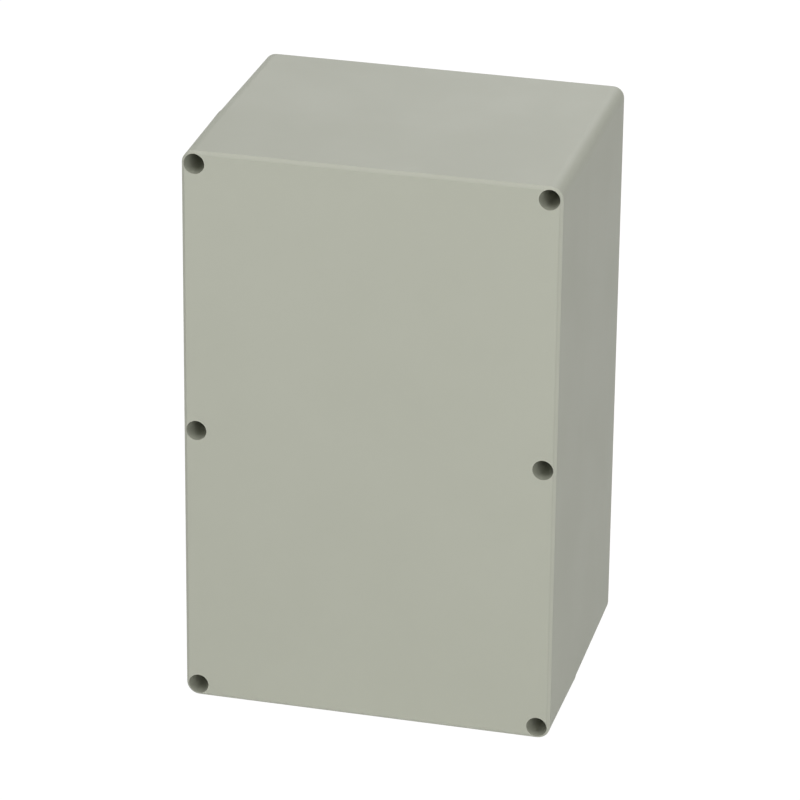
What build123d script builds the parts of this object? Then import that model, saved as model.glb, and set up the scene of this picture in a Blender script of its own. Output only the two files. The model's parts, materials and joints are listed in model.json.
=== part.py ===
from build123d import *
import os

os.makedirs("parts", exist_ok=True)

# Closed enclosure, measured at the lid's rim, its widest line (mm)
width = 160.0
height = 250.0
depth = 127.0
corner_radius = 6.0

# Lid, the front two fifths of the depth
lid_depth = 51.0
lid_draft = 0.45
lid_face_thickness = 3.5
lid_edge_chamfer = 1.4

# Base, whose outline is a hair smaller than the lid's rim
rim_step = 0.2
base_draft = 0.65
base_floor_thickness = 4.0
base_edge_radius = 4.0

# Walls, and blocks that step the inner outline round the screws
wall_thickness = 3.5
pillar_wall = 1.5
block_radius = 3.0

# Tongue on the base, in a rebate with the gasket in the lid
rebate_width = 2.0
tongue_height = 3.5
tongue_clearance = 0.4
gasket_thickness = 1.5
gasket_clearance = 0.1

# Screw channels through the lid, which end in a web that the heads seat on
screw_inset = 5.9
channel_diameter = 8.8
web_thickness = 4.0
retainer_recess_diameter = 8.4
retainer_recess_depth = 4.0

# Captive lid screws
head_clearance = 1.2
head_height = 4.0
head_chamfer = 0.5
drive_length = 4.6
drive_width = 1.1
drive_depth = 2.2
neck_diameter = 2.7
thread_diameter = 3.4
thread_projection = 1.5
tip_chamfer = 0.6
screw_hole_clearance = 0.06

# Washers that keep the screws in the lid
retainer_thickness = 1.0
retainer_outer_clearance = 0.6
retainer_clearance = 0.1

# Threaded inserts in the base's screw pillars
insert_diameter = 5.6
insert_length = 10.0
insert_setback = 0.5
insert_clearance = 0.1
thread_clearance = 0.1
pillar_core_diameter = 5.0
pillar_floor_thickness = 16.0

# Wall-fixing channels beside the corner pillars, outside the gasket
fixing_inset_x = 7.5
fixing_inset_z = 18.0
fixing_channel_diameter = 9.0
fixing_hole_diameter = 4.8
fixing_floor_thickness = 5.0
pocket_floor_thickness = 8.0

# Bosses on the base's floor for a board or mounting plate
boss_pitch_x = 110.0
boss_pitch_z = 190.0
boss_diameter = 9.0
boss_height = 9.0
boss_hole_diameter = 3.3
boss_hole_depth = 8.0

# Derived sizes
base_depth = depth - lid_depth
channel_depth = lid_depth - retainer_recess_depth - web_thickness
tongue_width = rebate_width - tongue_clearance
gasket_width = rebate_width - gasket_clearance
head_diameter = channel_diameter - head_clearance
neck_length = web_thickness + retainer_recess_depth + insert_setback
thread_length = insert_length + thread_projection
retainer_diameter = retainer_recess_diameter - retainer_outer_clearance
wall_inset = rim_step + wall_thickness
block_margin = pillar_wall + rebate_width
corner_block_width = fixing_inset_x + fixing_channel_diameter / 2 + block_margin
corner_block_height = fixing_inset_z + fixing_channel_diameter / 2 + block_margin
side_block_width = screw_inset + retainer_recess_diameter / 2 + block_margin
side_block_height = retainer_recess_diameter + 2 * block_margin

# Derived places
front_y = -depth / 2
parting_y = front_y + lid_depth
screw_pitch_x = width - 2 * screw_inset
screw_pitch_z = (height - 2 * screw_inset) / 2
fixing_pitch_x = width - 2 * fixing_inset_x
fixing_pitch_z = height - 2 * fixing_inset_z


# A sketching plane that faces forwards, centred on the enclosure, at a depth y
def facing_front(y):
    return Plane(origin=(0, y, height / 2), x_dir=(1, 0, 0), z_dir=(0, -1, 0))


front_plane = facing_front(front_y)
parting_plane = facing_front(parting_y)
floor_plane = facing_front(depth / 2 - base_floor_thickness)

# Inner outline at the parting line, drawn flat and placed where it is used
with BuildSketch() as inner_outline:
    Rectangle(width - 2 * wall_inset, height - 2 * wall_inset)
    with GridLocations(width - corner_block_width, height - corner_block_height, 2, 2):
        Rectangle(corner_block_width, corner_block_height, mode=Mode.SUBTRACT)
    with GridLocations(width - side_block_width, 0, 2, 1):
        Rectangle(side_block_width, side_block_height, mode=Mode.SUBTRACT)
    fillet(inner_outline.vertices(), block_radius)


# A band that follows the inner outline on its outer side
def outline_band(band_width):
    with BuildSketch() as band:
        add(inner_outline.sketch)
        offset(amount=band_width)
        add(inner_outline.sketch, mode=Mode.SUBTRACT)
    return band.sketch


# Base: drafted shell with tongue, pillars, fixing channels and bosses
with BuildPart() as base:
    with BuildSketch(parting_plane):
        RectangleRounded(width - 2 * rim_step, height - 2 * rim_step, corner_radius - rim_step)
    extrude(amount=-base_depth, taper=base_draft)
    fillet(base.faces().sort_by(Axis.Y)[-1].edges(), base_edge_radius)
    with BuildSketch(parting_plane):
        add(inner_outline.sketch)
    extrude(amount=base_floor_thickness - base_depth, taper=base_draft, mode=Mode.SUBTRACT)
    with BuildSketch(parting_plane):
        add(outline_band(tongue_width))
    extrude(amount=tongue_height)
    with Locations(parting_plane):
        with GridLocations(screw_pitch_x, screw_pitch_z, 2, 3):
            CounterBoreHole(
                radius=pillar_core_diameter / 2,
                counter_bore_radius=(insert_diameter + insert_clearance) / 2,
                counter_bore_depth=insert_setback + insert_length,
                depth=base_depth - pillar_floor_thickness,
            )
        with GridLocations(fixing_pitch_x, fixing_pitch_z, 2, 2):
            CounterBoreHole(
                radius=fixing_hole_diameter / 2,
                counter_bore_radius=fixing_channel_diameter / 2,
                counter_bore_depth=base_depth - fixing_floor_thickness,
                depth=base_depth,
            )
    with BuildSketch(floor_plane):
        with GridLocations(boss_pitch_x, boss_pitch_z, 2, 2):
            Circle(boss_diameter / 2)
    extrude(amount=boss_height)
    with Locations(floor_plane.offset(boss_height)):
        with GridLocations(boss_pitch_x, boss_pitch_z, 2, 2):
            Hole(boss_hole_diameter / 2, depth=boss_hole_depth)
base.part.label = "base"
export_step(base.part, "parts/base.step")

# Lid: drafted shell with six deep screw channels and a rebate for the gasket
with BuildPart() as lid:
    with BuildSketch(parting_plane):
        RectangleRounded(width, height, corner_radius)
    extrude(amount=lid_depth, taper=lid_draft)
    chamfer(lid.faces().sort_by(Axis.Y)[0].edges(), lid_edge_chamfer)
    with BuildSketch(parting_plane):
        add(inner_outline.sketch)
    extrude(amount=lid_depth - lid_face_thickness, taper=lid_draft, mode=Mode.SUBTRACT)
    with BuildSketch(parting_plane):
        add(outline_band(rebate_width))
    extrude(amount=tongue_height + gasket_thickness, mode=Mode.SUBTRACT)
    with Locations(front_plane):
        with GridLocations(screw_pitch_x, screw_pitch_z, 2, 3):
            CounterBoreHole(
                radius=(thread_diameter + screw_hole_clearance) / 2,
                counter_bore_radius=channel_diameter / 2,
                counter_bore_depth=channel_depth,
                depth=lid_depth,
            )
    with Locations(parting_plane):
        with GridLocations(screw_pitch_x, screw_pitch_z, 2, 3):
            Cylinder(
                retainer_recess_diameter / 2,
                retainer_recess_depth,
                align=(Align.CENTER, Align.CENTER, Align.MIN),
                mode=Mode.SUBTRACT,
            )
        with GridLocations(fixing_pitch_x, fixing_pitch_z, 2, 2):
            Cylinder(
                fixing_channel_diameter / 2,
                lid_depth - pocket_floor_thickness,
                align=(Align.CENTER, Align.CENTER, Align.MIN),
                mode=Mode.SUBTRACT,
            )
lid.part.label = "lid"
export_step(lid.part, "parts/lid.step")

# Gasket: one loop at the bottom of the lid's rebate
with BuildPart() as gasket:
    with BuildSketch(parting_plane.offset(tongue_height)):
        add(outline_band(gasket_width))
    extrude(amount=gasket_thickness)
gasket.part.label = "gasket"
export_step(gasket.part, "parts/gasket.step")

# Names of the six screw places, seen from the front
rows = {"bottom": -screw_pitch_z, "middle": 0, "top": screw_pitch_z}
columns = {"left": -screw_pitch_x / 2, "right": screw_pitch_x / 2}
seat_plane = facing_front(front_y + channel_depth)
recess_plane = facing_front(parting_y - retainer_recess_depth)
insert_plane = facing_front(parting_y + insert_setback)

for row, z in rows.items():
    for column, x in columns.items():
        place = f"{row}_{column}"

        # Screw, its head seated at the end of the channel
        with BuildPart() as screw:
            with BuildSketch(seat_plane):
                with Locations((x, z)):
                    Circle(head_diameter / 2)
            extrude(amount=head_height)
            chamfer(screw.edges().sort_by(Axis.Y)[0], head_chamfer)
            with BuildSketch(seat_plane):
                with Locations((x, z)):
                    Circle(neck_diameter / 2)
            extrude(amount=-neck_length)
            with BuildSketch(insert_plane):
                with Locations((x, z)):
                    Circle(thread_diameter / 2)
            extrude(amount=-thread_length)
            chamfer(screw.edges().sort_by(Axis.Y)[-1], tip_chamfer)
            with BuildSketch(seat_plane.offset(head_height)):
                with Locations((x, z)):
                    Rectangle(drive_length, drive_width)
                    Rectangle(drive_width, drive_length)
            extrude(amount=-drive_depth, mode=Mode.SUBTRACT)
        screw.part.label = f"lid_screw_{place}"
        export_step(screw.part, f"parts/lid_screw_{place}.step")

        # Retainer round the screw's neck, below the lid's web
        with BuildPart() as retainer:
            with BuildSketch(recess_plane):
                with Locations((x, z)):
                    Circle(retainer_diameter / 2)
                    Circle((neck_diameter + retainer_clearance) / 2, mode=Mode.SUBTRACT)
            extrude(amount=-retainer_thickness)
        retainer.part.label = f"screw_retainer_{place}"
        export_step(retainer.part, f"parts/screw_retainer_{place}.step")

        # Insert in the mouth of the pillar
        with BuildPart() as insert:
            with BuildSketch(insert_plane):
                with Locations((x, z)):
                    Circle(insert_diameter / 2)
                    Circle((thread_diameter + thread_clearance) / 2, mode=Mode.SUBTRACT)
            extrude(amount=-insert_length)
        insert.part.label = f"threaded_insert_{place}"
        export_step(insert.part, f"parts/threaded_insert_{place}.step")
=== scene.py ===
import json
import math
import bmesh
import bpy
from mathutils import Matrix, Vector


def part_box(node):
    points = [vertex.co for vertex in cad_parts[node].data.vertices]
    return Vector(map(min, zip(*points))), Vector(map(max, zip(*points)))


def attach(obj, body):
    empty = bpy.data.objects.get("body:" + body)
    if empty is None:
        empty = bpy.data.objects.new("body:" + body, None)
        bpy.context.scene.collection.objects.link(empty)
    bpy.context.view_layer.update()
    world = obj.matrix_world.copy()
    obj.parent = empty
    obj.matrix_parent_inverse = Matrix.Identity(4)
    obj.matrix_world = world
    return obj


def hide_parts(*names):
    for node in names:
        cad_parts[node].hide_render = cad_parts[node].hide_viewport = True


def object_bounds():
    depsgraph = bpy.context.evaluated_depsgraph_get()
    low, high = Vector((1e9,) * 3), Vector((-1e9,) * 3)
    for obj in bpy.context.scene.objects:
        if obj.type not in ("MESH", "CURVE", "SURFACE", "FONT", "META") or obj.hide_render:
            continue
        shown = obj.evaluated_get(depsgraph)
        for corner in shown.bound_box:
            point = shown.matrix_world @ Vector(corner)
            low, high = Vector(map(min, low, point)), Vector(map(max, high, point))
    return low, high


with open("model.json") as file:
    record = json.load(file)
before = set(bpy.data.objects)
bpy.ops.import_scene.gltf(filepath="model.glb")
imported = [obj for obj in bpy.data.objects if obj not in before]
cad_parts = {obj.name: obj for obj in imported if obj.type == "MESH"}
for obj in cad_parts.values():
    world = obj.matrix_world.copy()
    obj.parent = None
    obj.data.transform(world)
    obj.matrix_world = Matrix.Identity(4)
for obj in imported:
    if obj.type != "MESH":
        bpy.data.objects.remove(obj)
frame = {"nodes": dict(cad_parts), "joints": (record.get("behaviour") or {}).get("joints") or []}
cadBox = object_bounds()
nodes = frame["nodes"]
print("frame loaded,", len(nodes), "pieces")

# The six screw axes, from the joints that turn the screws
screwAxes = {
    j["child"].replace("lid_screw_", ""): Vector(j["pos_m"])
    for j in frame["joints"]
    if j["name"].startswith("screw_turn_")
}
screwColumn = max(p.x for p in screwAxes.values())
screwMiddle = sum(p.z for p in screwAxes.values()) / len(screwAxes)
screwRow = max(p.z for p in screwAxes.values()) - screwMiddle

mergeDistance = 1e-7  # metres, for points that are the same point


# Small tools for node trees: an input is given a value or another node's output

def addNode(tree, kind, inputs=None, **settings):
    node = tree.nodes.new(kind)
    for key, value in settings.items():
        setattr(node, key, value)
    for key, value in (inputs or {}).items():
        if isinstance(value, bpy.types.NodeSocket):
            tree.links.new(value, node.inputs[key])
        else:
            node.inputs[key].default_value = value
    return node


def maths(tree, operation, *values):
    return addNode(tree, "ShaderNodeMath", dict(enumerate(values)), operation=operation).outputs[0]


def vectorMaths(tree, operation, *values, output="Vector"):
    node = addNode(tree, "ShaderNodeVectorMath", dict(enumerate(values)), operation=operation)
    return node.outputs[output]


def hypotenuse(tree, first, second):
    squares = maths(tree, "ADD", maths(tree, "POWER", first, 2.0), maths(tree, "POWER", second, 2.0))
    return maths(tree, "SQRT", squares)


def clamped(tree, value):
    return addNode(tree, "ShaderNodeClamp", {"Value": value}).outputs[0]


def mixed(tree, factor, first, second):
    node = addNode(tree, "ShaderNodeMix", {0: factor, 6: first, 7: second}, data_type="RGBA")
    return node.outputs[2]


def ranged(tree, value, low, high, toLow=0.0, toHigh=1.0):
    inputs = {"Value": value, "From Min": low, "From Max": high, "To Min": toLow, "To Max": toHigh}
    return addNode(tree, "ShaderNodeMapRange", inputs, interpolation_type="SMOOTHSTEP").outputs[0]


def newGroup(name, kind, inputs, outputs):
    tree = bpy.data.node_groups.new(name, kind)
    for direction, sockets in (("INPUT", inputs), ("OUTPUT", outputs)):
        for label, socketType in sockets.items():
            tree.interface.new_socket(label, in_out=direction, socket_type="NodeSocket" + socketType)
    return tree, addNode(tree, "NodeGroupInput").outputs, addNode(tree, "NodeGroupOutput")


def useGroup(tree, group, inputs):
    return addNode(tree, "ShaderNodeGroup", inputs, node_tree=group).outputs


def newMaterial(name):
    material = bpy.data.materials.new(name)
    material.use_nodes = True
    tree = material.node_tree
    shader = tree.nodes["Principled BSDF"]
    position = addNode(tree, "ShaderNodeTexCoord").outputs["Object"]
    return material, tree, shader, position


# Shared effects

def makeMottleGroup():
    tree, given, result = newGroup(
        "mottle", "ShaderNodeTree", {"Position": "Vector", "Patch Size": "Float"}, {"Shade": "Float"}
    )
    scale = maths(tree, "DIVIDE", 1.0, given["Patch Size"])
    inputs = {"Vector": given["Position"], "Scale": scale, "Detail": 3.0, "Roughness": 0.55}
    noise = addNode(tree, "ShaderNodeTexNoise", inputs).outputs["Fac"]
    low, high = 0.3, 0.7  # nearly all of the noise lies between these
    shade = ranged(tree, noise, low, high)
    tree.links.new(shade, result.inputs["Shade"])
    return tree


def makeGrainGroup():
    tree, given, result = newGroup(
        "grain", "ShaderNodeTree", {"Position": "Vector", "Grain Size": "Float"}, {"Height": "Float"}
    )
    scale = maths(tree, "DIVIDE", 1.0, given["Grain Size"])
    inputs = {"Vector": given["Position"], "Scale": scale}
    pits = addNode(tree, "ShaderNodeTexVoronoi", inputs, feature="SMOOTH_F1").outputs["Distance"]
    waves = addNode(tree, "ShaderNodeTexNoise", {**inputs, "Detail": 4.0}).outputs["Fac"]
    height = maths(tree, "ADD", pits, waves)
    tree.links.new(maths(tree, "MULTIPLY", height, 0.5), result.inputs["Height"])
    return tree


def makeSpeckGroup():
    tree, given, result = newGroup(
        "specks",
        "ShaderNodeTree",
        {"Position": "Vector", "Spacing": "Float", "Size": "Float", "Share": "Float"},
        {"Mask": "Float"},
    )
    scale = maths(tree, "DIVIDE", 1.0, given["Spacing"])
    inputs = {"Vector": given["Position"], "Scale": scale}
    cells = addNode(tree, "ShaderNodeTexVoronoi", inputs, feature="F1")
    reach = maths(tree, "DIVIDE", given["Size"], given["Spacing"])
    dot = maths(tree, "LESS_THAN", cells.outputs["Distance"], reach)
    chance = addNode(tree, "ShaderNodeSeparateColor", {"Color": cells.outputs["Color"]}).outputs[0]
    mask = maths(tree, "MULTIPLY", dot, maths(tree, "LESS_THAN", chance, given["Share"]))
    tree.links.new(mask, result.inputs["Mask"])
    return tree


# How near a point is to the edges of a box, from its distances to the three pairs of sides:
# the second smallest of them, with full wear and painted highlight over the half of the reach next to the
# edge
def makeEdgeGroup():
    tree, given, result = newGroup(
        "edgeRub",
        "ShaderNodeTree",
        {"Position": "Vector", "Centre": "Vector", "Half Size": "Vector", "Reach": "Float"},
        {"Mask": "Float"},
    )
    fromCentre = vectorMaths(tree, "SUBTRACT", given["Position"], given["Centre"])
    depth = vectorMaths(tree, "SUBTRACT", given["Half Size"], vectorMaths(tree, "ABSOLUTE", fromCentre))
    x, y, z = addNode(tree, "ShaderNodeSeparateXYZ", {"Vector": depth}).outputs
    nearer = maths(tree, "MINIMUM", x, y)
    farther = maths(tree, "MAXIMUM", x, y)
    second = maths(tree, "MAXIMUM", nearer, maths(tree, "MINIMUM", farther, z))
    full = maths(tree, "MULTIPLY", given["Reach"], 0.5)
    tree.links.new(ranged(tree, second, given["Reach"], full), result.inputs["Mask"])
    return tree


# The distance of a point from the nearest of the six screw axes
def makeScrewRadiusGroup():
    tree, given, result = newGroup(
        "screwRadius", "ShaderNodeTree", {"Position": "Vector"}, {"Radius": "Float"}
    )
    x, y, z = addNode(tree, "ShaderNodeSeparateXYZ", {"Vector": given["Position"]}).outputs
    across = maths(tree, "SUBTRACT", maths(tree, "ABSOLUTE", x), screwColumn)
    fromMiddle = maths(tree, "SUBTRACT", z, screwMiddle)
    upwards = maths(tree, "WRAP", fromMiddle, screwRow / 2, -screwRow / 2)
    tree.links.new(hypotenuse(tree, across, upwards), result.inputs["Radius"])
    return tree


mottleGroup = makeMottleGroup()
grainGroup = makeGrainGroup()
speckGroup = makeSpeckGroup()
edgeGroup = makeEdgeGroup()
screwRadiusGroup = makeScrewRadiusGroup()

# Moulded housing plastic
housingSettings = {
    "colour": (0.450, 0.462, 0.386, 1.0),
    "patchColour": (0.444, 0.456, 0.380, 1.0),  # the faint clouds of the moulding
    # lighter colour: along the edges partly wear and partly painted highlight, round the channel mouths
    # painted highlight
    "rubColour": (0.500, 0.510, 0.430, 1.0),  # along edges and channel mouths
    "speckColour": (0.20, 0.18, 0.14, 1.0),
    "patchSize": 0.045,
    "grainSize": 0.00035,
    "grainDepth": 0.00003,
    "speckSpacing": 0.016,
    "speckSize": 0.00022,
    "speckShare": 0.16,
    # reach and strength of the lighter edges, which are partly wear and partly painted highlight
    "rubReach": 0.002,
    "rubAmount": 0.72,
    "roughness": (0.55, 0.58),
    "channelRadius": 0.0044,
    # width of the painted highlight round each channel mouth
    "mouthReach": 0.0004,
}


def makeHousing(s):
    material, tree, shader, position = newMaterial("housingPlastic")
    low, high = cadBox
    centre, halfSize = (low + high) / 2, (high - low) / 2
    patches = useGroup(tree, mottleGroup, {"Position": position, "Patch Size": s["patchSize"]})["Shade"]
    box = {"Centre": centre, "Half Size": halfSize}
    edges = useGroup(tree, edgeGroup, {"Position": position, **box, "Reach": s["rubReach"]})["Mask"]
    radius = useGroup(tree, screwRadiusGroup, {"Position": position})["Radius"]
    y = addNode(tree, "ShaderNodeSeparateXYZ", {"Vector": position}).outputs["Y"]
    # painted highlight: a lighter ring round each channel mouth on the front face
    fromRim = maths(tree, "SUBTRACT", radius, s["channelRadius"])
    fromFace = maths(tree, "SUBTRACT", y, low.y)
    mouthHighlights = ranged(tree, hypotenuse(tree, fromRim, fromFace), s["mouthReach"], 0.0)
    # edges lightened as wear and painted highlight, channel mouths lightened as painted highlight
    rubbedAndLit = maths(tree, "MULTIPLY", maths(tree, "MAXIMUM", edges, mouthHighlights), s["rubAmount"])
    sizes = {"Spacing": s["speckSpacing"], "Size": s["speckSize"], "Share": s["speckShare"]}
    specks = useGroup(tree, speckGroup, {"Position": position, **sizes})["Mask"]
    colour = mixed(tree, patches, s["colour"], s["patchColour"])
    colour = mixed(tree, rubbedAndLit, colour, s["rubColour"])
    colour = mixed(tree, specks, colour, s["speckColour"])
    tree.links.new(colour, shader.inputs["Base Color"])
    tree.links.new(ranged(tree, patches, 0.0, 1.0, *s["roughness"]), shader.inputs["Roughness"])
    grain = useGroup(tree, grainGroup, {"Position": position, "Grain Size": s["grainSize"]})["Height"]
    bump = addNode(tree, "ShaderNodeBump", {"Strength": 1.0, "Distance": s["grainDepth"], "Height": grain})
    tree.links.new(bump.outputs[0], shader.inputs["Normal"])
    return material


# Foamed rubber gasket
gasketSettings = {
    "colour": (0.018, 0.018, 0.019, 1.0),
    "patchColour": (0.05, 0.05, 0.048, 1.0),  # dust
    "patchSize": 0.012,
    "grainSize": 0.0004,  # the foam's pores
    "grainDepth": 0.00008,
    "roughness": 0.85,
}

# Nylon washers
washerSettings = {
    "colour": (0.72, 0.70, 0.62, 1.0),
    "patchColour": (0.66, 0.64, 0.55, 1.0),
    "patchSize": 0.004,
    "grainSize": 0.0002,
    "grainDepth": 0.000006,
    "roughness": 0.5,
}


def makePlainMaterial(name, s):
    material, tree, shader, position = newMaterial(name)
    patches = useGroup(tree, mottleGroup, {"Position": position, "Patch Size": s["patchSize"]})["Shade"]
    tree.links.new(mixed(tree, patches, s["colour"], s["patchColour"]), shader.inputs["Base Color"])
    grain = useGroup(tree, grainGroup, {"Position": position, "Grain Size": s["grainSize"]})["Height"]
    bump = addNode(tree, "ShaderNodeBump", {"Strength": 1.0, "Distance": s["grainDepth"], "Height": grain})
    tree.links.new(bump.outputs[0], shader.inputs["Normal"])
    shader.inputs["Roughness"].default_value = s["roughness"]
    return material


# Turned metal, with fine tool rings round its own screw axis
steelSettings = {
    "colour": (0.56, 0.55, 0.53, 1.0),
    "dullColour": (0.44, 0.43, 0.41, 1.0),
    "patchSize": 0.003,
    "ringSize": 0.00016,
    "ringDepth": 0.000006,
    "roughness": (0.26, 0.42),
}
brassSettings = {
    "colour": (0.74, 0.52, 0.22, 1.0),
    "dullColour": (0.50, 0.33, 0.13, 1.0),
    "patchSize": 0.003,
    "ringSize": 0.0002,
    "ringDepth": 0.000006,
    "roughness": (0.28, 0.45),
}


def makeTurnedMetal(name, s):
    material, tree, shader, position = newMaterial(name)
    radius = useGroup(tree, screwRadiusGroup, {"Position": position})["Radius"]
    patches = useGroup(tree, mottleGroup, {"Position": position, "Patch Size": s["patchSize"]})["Shade"]
    tree.links.new(mixed(tree, patches, s["colour"], s["dullColour"]), shader.inputs["Base Color"])
    tree.links.new(ranged(tree, patches, 0.0, 1.0, *s["roughness"]), shader.inputs["Roughness"])
    y = addNode(tree, "ShaderNodeSeparateXYZ", {"Vector": position}).outputs["Y"]
    travel = maths(tree, "ADD", radius, y)
    rings = maths(tree, "SINE", maths(tree, "MULTIPLY", travel, 2 * math.pi / s["ringSize"]))
    bump = addNode(tree, "ShaderNodeBump", {"Strength": 1.0, "Distance": s["ringDepth"], "Height": rings})
    tree.links.new(bump.outputs[0], shader.inputs["Normal"])
    shader.inputs["Metallic"].default_value = 1.0
    return material


def dress(node, material):
    mesh = nodes[node].data
    mesh.materials.clear()
    mesh.materials.append(material)


housingPlastic = makeHousing(housingSettings)
screwSteel = makeTurnedMetal("screwSteel", steelSettings)
insertBrass = makeTurnedMetal("insertBrass", brassSettings)
washerNylon = makePlainMaterial("washerNylon", washerSettings)
dress("lid", housingPlastic)
dress("base", housingPlastic)
dress("gasket", makePlainMaterial("gasketFoam", gasketSettings))
for place in screwAxes:
    dress("screw_retainer_" + place, washerNylon)
print("materials made")


# Geometry nodes for what is wound round a screw axis: a grid whose columns go round and rows go along

def addGridForm(tree, segments, rows):
    columns = maths(tree, "ADD", segments, 1.0)
    inputs = {"Size X": 1.0, "Size Y": 1.0, "Vertices X": columns, "Vertices Y": rows}
    grid = addNode(tree, "GeometryNodeMeshGrid", inputs)
    position = addNode(tree, "GeometryNodeInputPosition").outputs[0]
    x, y, z = addNode(tree, "ShaderNodeSeparateXYZ", {"Vector": position}).outputs
    turn = maths(tree, "ADD", x, 0.5)
    row = maths(tree, "MULTIPLY", maths(tree, "ADD", y, 0.5), maths(tree, "SUBTRACT", rows, 1.0))
    return grid.outputs["Mesh"], turn, row


# A helical ridge, from 0 at its root to 1 at its crest
def addRidge(tree, turn, along, pitch):
    rise = maths(tree, "SUBTRACT", maths(tree, "DIVIDE", along, pitch), turn)
    slope = maths(tree, "ABSOLUTE", maths(tree, "MULTIPLY_ADD", maths(tree, "FRACT", rise), 2.0, -1.0))
    root, crest = 0.15, 0.85  # below and above these the thread is flat
    return ranged(tree, slope, root, crest)


def addWinding(tree, mesh, turn, radius, along):
    angle = maths(tree, "MULTIPLY", turn, 2 * math.pi)
    across = maths(tree, "MULTIPLY", radius, maths(tree, "COSINE", angle))
    upwards = maths(tree, "MULTIPLY", radius, maths(tree, "SINE", maths(tree, "MULTIPLY", angle, -1.0)))
    place = addNode(tree, "ShaderNodeCombineXYZ", {"X": across, "Y": along, "Z": upwards}).outputs[0]
    wound = addNode(tree, "GeometryNodeSetPosition", {"Geometry": mesh, "Position": place}).outputs[0]
    inputs = {"Geometry": wound, "Distance": mergeDistance}
    return addNode(tree, "GeometryNodeMergeByDistance", inputs).outputs[0]


def moved(tree, shape, place, rotation=(0.0, 0.0, 0.0)):
    inputs = {"Geometry": shape, "Translation": place, "Rotation": rotation}
    return addNode(tree, "GeometryNodeTransform", inputs).outputs[0]


def finishTree(tree, given, result, shape):
    whole = addNode(tree, "GeometryNodeRealizeInstances", {"Geometry": shape}).outputs[0]
    inputs = {"Geometry": whole, "Material": given["Material"]}
    coated = addNode(tree, "GeometryNodeSetMaterial", inputs).outputs[0]
    tree.links.new(coated, result.inputs["Geometry"])
    return tree


def makePiece(name, mesh, tree, inputs, sharpAngle):
    source = bpy.data.objects.new("source", mesh)
    bpy.context.scene.collection.objects.link(source)
    modifier = source.modifiers.new("shape", "NODES")
    modifier.node_group = tree
    for socket in tree.interface.items_tree:
        if socket.in_out == "INPUT" and socket.name in inputs:
            modifier[socket.identifier] = inputs[socket.name]
    graph = bpy.context.evaluated_depsgraph_get()
    made = bpy.data.meshes.new_from_object(source.evaluated_get(graph))
    bpy.data.objects.remove(source)
    made.shade_smooth()
    made.set_sharp_from_angle(angle=math.radians(sharpAngle))
    piece = bpy.data.objects.new(name, made)
    bpy.context.scene.collection.objects.link(piece)
    return piece


# Lid screws: the CAD head and neck, with a wound thread in place of the plain shank
screwSettings = {
    "pitch": 0.0006,
    "outerRadius": 0.00168,
    "rootRadius": 0.00132,
    "tipRadius": 0.00105,
    "shoulder": 0.0004,  # plain collar between the neck and the thread
    "segments": 32,
    "rowsPerTurn": 8,
    "sharpAngle": 40.0,
}


def makeThreadTree():
    sizes = ("Length", "Pitch", "Outer Radius", "Root Radius", "Tip Radius", "Shoulder")
    inputs = {"Geometry": "Geometry", "Start": "Vector", **{k: "Float" for k in sizes}}
    inputs.update({"Segments": "Int", "Rows": "Int", "Material": "Material"})
    tree, given, result = newGroup("threadedShank", "GeometryNodeTree", inputs, {"Geometry": "Geometry"})
    mesh, turn, row = addGridForm(tree, given["Segments"], given["Rows"])
    last = maths(tree, "SUBTRACT", given["Rows"], 1.0)
    span = maths(tree, "SUBTRACT", last, 2.0)
    share = clamped(tree, maths(tree, "DIVIDE", maths(tree, "SUBTRACT", row, 1.0), span))
    inset = maths(tree, "MULTIPLY", given["Shoulder"], 0.5)
    along = maths(tree, "MULTIPLY_ADD", share, maths(tree, "SUBTRACT", given["Length"], inset), inset)
    height = maths(tree, "SUBTRACT", given["Outer Radius"], given["Root Radius"])
    ridge = addRidge(tree, turn, along, given["Pitch"])
    radius = maths(tree, "MULTIPLY_ADD", ridge, height, given["Root Radius"])
    taper = maths(tree, "ADD", given["Tip Radius"], maths(tree, "SUBTRACT", given["Length"], along))
    radius = maths(tree, "MINIMUM", radius, taper)
    fromEnd = maths(tree, "MINIMUM", row, maths(tree, "SUBTRACT", last, row))
    between = maths(tree, "GREATER_THAN", fromEnd, 0.5)  # the first and last rows close the ends
    shank = addWinding(tree, mesh, turn, maths(tree, "MULTIPLY", radius, between), along)
    shank = moved(tree, shank, given["Start"])

    # The plain shank is cut off below the shoulder, and the threaded one joined on
    cutterSides, cutterWidth, cutterDepth = 24, 1.5, 2.0  # width and depth against the thread's
    depth = maths(tree, "MULTIPLY", given["Length"], cutterDepth)
    cutterRadius = maths(tree, "MULTIPLY", given["Outer Radius"], cutterWidth)
    cutter = addNode(
        tree, "GeometryNodeMeshCylinder", {"Vertices": cutterSides, "Radius": cutterRadius, "Depth": depth}
    ).outputs["Mesh"]
    middle = maths(tree, "ADD", given["Shoulder"], given["Length"])
    reach = addNode(tree, "ShaderNodeCombineXYZ", {"Y": middle}).outputs[0]
    place = vectorMaths(tree, "ADD", given["Start"], reach)
    cutter = moved(tree, cutter, place, (math.pi / 2, 0.0, 0.0))
    head = addNode(tree, "GeometryNodeMeshBoolean", operation="DIFFERENCE", solver="EXACT")
    tree.links.new(given["Geometry"], head.inputs["Mesh 1"])
    tree.links.new(cutter, head.inputs["Mesh 2"])
    whole = addNode(tree, "GeometryNodeMeshBoolean", operation="UNION", solver="EXACT")
    tree.links.new(head.outputs["Mesh"], whole.inputs["Mesh 2"])
    tree.links.new(shank, whole.inputs["Mesh 2"])
    return finishTree(tree, given, result, whole.outputs["Mesh"])


def mergedCopy(node):
    shape = bmesh.new()
    shape.from_mesh(nodes[node].data)
    bmesh.ops.remove_doubles(shape, verts=shape.verts, dist=mergeDistance)
    mesh = bpy.data.meshes.new(node + "_copy")
    shape.to_mesh(mesh)
    shape.free()
    return mesh


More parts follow.
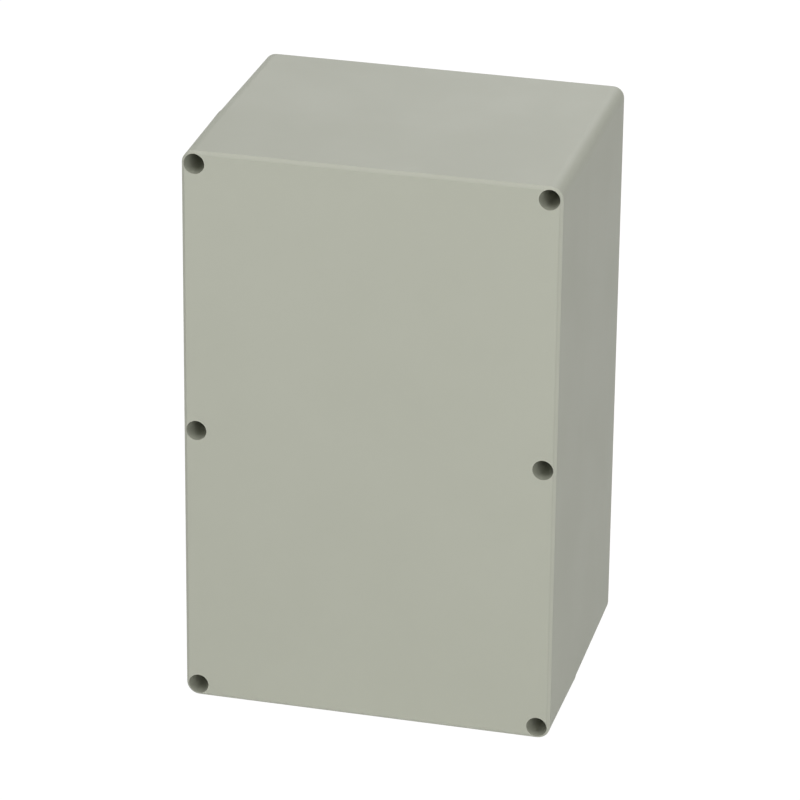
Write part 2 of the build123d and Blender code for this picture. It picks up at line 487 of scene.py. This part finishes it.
def makeScrews(s):
    tree = makeThreadTree()
    for place, axis in screwAxes.items():
        node = "lid_screw_" + place
        start = Vector((axis.x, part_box("threaded_insert_" + place)[0].y, axis.z))
        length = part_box(node)[1].y - start.y
        inputs = {
            "Start": start,
            "Length": length,
            "Pitch": s["pitch"],
            "Outer Radius": s["outerRadius"],
            "Root Radius": s["rootRadius"],
            "Tip Radius": s["tipRadius"],
            "Shoulder": s["shoulder"],
            "Segments": s["segments"],
            "Rows": round(length / s["pitch"] * s["rowsPerTurn"]),
            "Material": screwSteel,
        }
        screw = makePiece("screw_" + place, mergedCopy(node), tree, inputs, s["sharpAngle"])
        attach(screw, node)
        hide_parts(node)


makeScrews(screwSettings)
print("screws threaded")


# Brass inserts: ribbed outside in two bands, threaded inside, one form set at the six pillars
insertSettings = {
    "outerRadius": 0.0028,
    "boreRadius": 0.00175,
    "threadDepth": 0.00022,
    "pitch": 0.0006,
    "ribs": 18,
    "ribDepth": 0.0003,
    "segments": 72,
    "outerRows": 24,
    "rowsPerTurn": 5,
    "sharpAngle": 50.0,
}


def makeInsertTree():
    sizes = ("Length", "Pitch", "Outer Radius", "Rib Depth", "Bore Radius", "Thread Depth", "Ribs")
    inputs = {"Geometry": "Geometry", **{k: "Float" for k in sizes}, "Column": "Float", "Row": "Float"}
    inputs.update({"Middle": "Vector", "Segments": "Int", "Outer Rows": "Int", "Inner Rows": "Int"})
    inputs["Material"] = "Material"
    tree, given, result = newGroup("threadedInserts", "GeometryNodeTree", inputs, {"Geometry": "Geometry"})
    rows = maths(tree, "ADD", maths(tree, "ADD", given["Outer Rows"], given["Inner Rows"]), 1.0)
    mesh, turn, row = addGridForm(tree, given["Segments"], rows)
    outShare = clamped(tree, maths(tree, "DIVIDE", row, maths(tree, "SUBTRACT", given["Outer Rows"], 1.0)))
    inRow = maths(tree, "SUBTRACT", row, given["Outer Rows"])
    inShare = clamped(tree, maths(tree, "DIVIDE", inRow, maths(tree, "SUBTRACT", given["Inner Rows"], 1.0)))
    inside = maths(tree, "GREATER_THAN", inRow, -0.5)
    closing = maths(tree, "GREATER_THAN", inRow, maths(tree, "SUBTRACT", given["Inner Rows"], 0.5))
    inside = maths(tree, "SUBTRACT", inside, closing)  # the last row comes back to the first
    outAlong = maths(tree, "MULTIPLY", outShare, maths(tree, "SUBTRACT", 1.0, closing))
    inAlong = maths(tree, "SUBTRACT", 1.0, inShare)
    share = addNode(tree, "ShaderNodeMix", {0: inside, 2: outAlong, 3: inAlong}, data_type="FLOAT").outputs[0]
    along = maths(tree, "MULTIPLY", share, given["Length"])
    ribAngle = maths(tree, "MULTIPLY", turn, maths(tree, "MULTIPLY", given["Ribs"], math.pi))
    ribs = maths(tree, "ABSOLUTE", maths(tree, "SINE", ribAngle))
    fromMiddle = maths(tree, "ABSOLUTE", maths(tree, "SUBTRACT", outAlong, 0.5))
    bandStart, bandEnd = 0.08, 0.42  # the two ribbed bands, from the middle, as shares of the length
    pastStart = maths(tree, "GREATER_THAN", fromMiddle, bandStart)
    band = maths(tree, "MULTIPLY", pastStart, maths(tree, "LESS_THAN", fromMiddle, bandEnd))
    drop = maths(tree, "SUBTRACT", 1.0, maths(tree, "MULTIPLY", ribs, band))
    dropDepth = maths(tree, "MULTIPLY", drop, given["Rib Depth"])
    outRadius = maths(tree, "SUBTRACT", given["Outer Radius"], dropDepth)
    ridge = addRidge(tree, turn, along, given["Pitch"])
    inRadius = maths(tree, "MULTIPLY_ADD", ridge, given["Thread Depth"], given["Bore Radius"])
    radii = {0: inside, 2: outRadius, 3: inRadius}
    radius = addNode(tree, "ShaderNodeMix", radii, data_type="FLOAT").outputs[0]
    form = addWinding(tree, mesh, turn, radius, along)
    acrossSize = maths(tree, "MULTIPLY", given["Column"], 2.0)
    upSize = maths(tree, "MULTIPLY", given["Row"], 2.0)
    gridInputs = {"Size X": acrossSize, "Size Y": upSize, "Vertices X": 2, "Vertices Y": 3}
    places = addNode(tree, "GeometryNodeMeshGrid", gridInputs).outputs["Mesh"]
    places = moved(tree, places, given["Middle"], (math.pi / 2, 0.0, 0.0))
    placed = addNode(tree, "GeometryNodeInstanceOnPoints", {"Points": places, "Instance": form}).outputs[0]
    return finishTree(tree, given, result, placed)


def makeInserts(s):
    low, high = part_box("threaded_insert_middle_left")
    length = high.y - low.y
    inputs = {
        "Length": length,
        "Pitch": s["pitch"],
        "Outer Radius": s["outerRadius"],
        "Rib Depth": s["ribDepth"],
        "Bore Radius": s["boreRadius"],
        "Thread Depth": s["threadDepth"],
        "Ribs": float(s["ribs"]),
        "Column": screwColumn,
        "Row": screwRow,
        "Middle": Vector((0.0, low.y, screwMiddle)),
        "Segments": s["segments"],
        "Outer Rows": s["outerRows"],
        "Inner Rows": round(length / s["pitch"] * s["rowsPerTurn"]),
        "Material": insertBrass,
    }
    empty = bpy.data.meshes.new("insertSource")
    inserts = makePiece("inserts", empty, makeInsertTree(), inputs, s["sharpAngle"])
    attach(inserts, "base")
    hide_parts(*["threaded_insert_" + place for place in screwAxes])


makeInserts(insertSettings)
print("inserts set")


# Floor and white surroundings, which keep a faint shadow
studioSettings = {
    "floorSize": 8.0,
    "floorColour": (0.7, 0.7, 0.7, 1.0),
    "glowShare": 0.9,  # how much of the floor's own shade the camera sees as plain white
    "glow": 1.1,
    "fill": 0.19,  # strength of the surroundings as a light
}


def seenDirectly(tree):
    path = addNode(tree, "ShaderNodeLightPath").outputs
    seen = maths(tree, "MAXIMUM", path["Is Camera Ray"], path["Is Glossy Ray"])
    return maths(tree, "MAXIMUM", seen, path["Is Transmission Ray"])


def makeStudio(s):
    world = bpy.data.worlds.new("surroundings")
    bpy.context.scene.world = world
    world.use_nodes = True
    tree = world.node_tree
    strength = ranged(tree, seenDirectly(tree), 0.0, 1.0, s["fill"], 1.0)
    tree.nodes["Background"].inputs["Color"].default_value = (1.0, 1.0, 1.0, 1.0)
    tree.links.new(strength, tree.nodes["Background"].inputs["Strength"])

    half = s["floorSize"] / 2
    mesh = bpy.data.meshes.new("floor")
    corners = [(x * half, y * half, 0.0) for x, y in ((-1, -1), (1, -1), (1, 1), (-1, 1))]
    mesh.from_pydata(corners, [], [(0, 1, 2, 3)])
    floor = bpy.data.objects.new("floor", mesh)
    bpy.context.scene.collection.objects.link(floor)
    material = bpy.data.materials.new("paleFloor")
    material.use_nodes = True
    tree = material.node_tree
    tree.nodes.clear()
    paint = addNode(tree, "ShaderNodeBsdfDiffuse", {"Color": s["floorColour"]}).outputs[0]
    glow = addNode(tree, "ShaderNodeEmission", {"Strength": s["glow"]}).outputs[0]
    share = maths(tree, "MULTIPLY", seenDirectly(tree), s["glowShare"])
    surface = addNode(tree, "ShaderNodeMixShader", {0: share, 1: paint, 2: glow}).outputs[0]
    addNode(tree, "ShaderNodeOutputMaterial", {"Surface": surface})
    mesh.materials.append(material)


makeStudio(studioSettings)

# Soft square lamps aimed at the middle of the object: places and sizes in metres, and watts
lampSettings = {
    "front": {"place": (-0.9, -2.85, 0.6), "size": 1.6, "watts": 25.1},
    "right": {"place": (1.8, -2.4, 0.45), "size": 1.6, "watts": 36.0},
    "overhead": {"place": (0.0, -1.0, 2.6), "size": 1.6, "watts": 23.3},
    "behind": {"place": (0.0, 2.4, 1.7), "size": 1.6, "watts": 23.3},
}


def makeLamps(lamps):
    middle = (cadBox[0] + cadBox[1]) / 2
    for name, s in lamps.items():
        data = bpy.data.lights.new(name, "AREA")
        data.size = s["size"]
        data.energy = s["watts"]
        lamp = bpy.data.objects.new(name, data)
        lamp.location = s["place"]
        lamp.rotation_euler = (Vector(s["place"]) - middle).to_track_quat("Z", "Y").to_euler()
        bpy.context.scene.collection.objects.link(lamp)


makeLamps(lampSettings)

# Camera at the photograph's angle: degrees, metres, and lens and sensor in millimetres
cameraSettings = {
    "azimuth": 14.049,
    "elevation": 24.058,
    "roll": 0.615,
    "distance": 1.8657,
    "target": (0.01343, -0.0635, 0.14945),
    "lens": 204.26,
    "sensor": 36.0,
}


def makeCamera(s):
    azimuth, elevation, roll = (math.radians(s[k]) for k in ("azimuth", "elevation", "roll"))
    level = math.cos(elevation)
    back = Vector((math.sin(azimuth) * level, -math.cos(azimuth) * level, math.sin(elevation)))
    right = Vector((math.cos(azimuth), math.sin(azimuth), 0.0))
    up = back.cross(right)
    tiltedRight = math.cos(roll) * right + math.sin(roll) * up
    tiltedUp = math.cos(roll) * up - math.sin(roll) * right
    turn = Matrix((tiltedRight, tiltedUp, back)).transposed()
    data = bpy.data.cameras.new("camera")
    data.lens = s["lens"]
    data.sensor_width = s["sensor"]
    camera = bpy.data.objects.new("camera", data)
    place = Vector(s["target"]) + back * s["distance"]
    camera.matrix_world = Matrix.Translation(place) @ turn.to_4x4()
    bpy.context.scene.collection.objects.link(camera)
    bpy.context.scene.camera = camera


makeCamera(cameraSettings)
bpy.context.scene.view_settings.view_transform = "Standard"
print("floor, lamps and camera made")
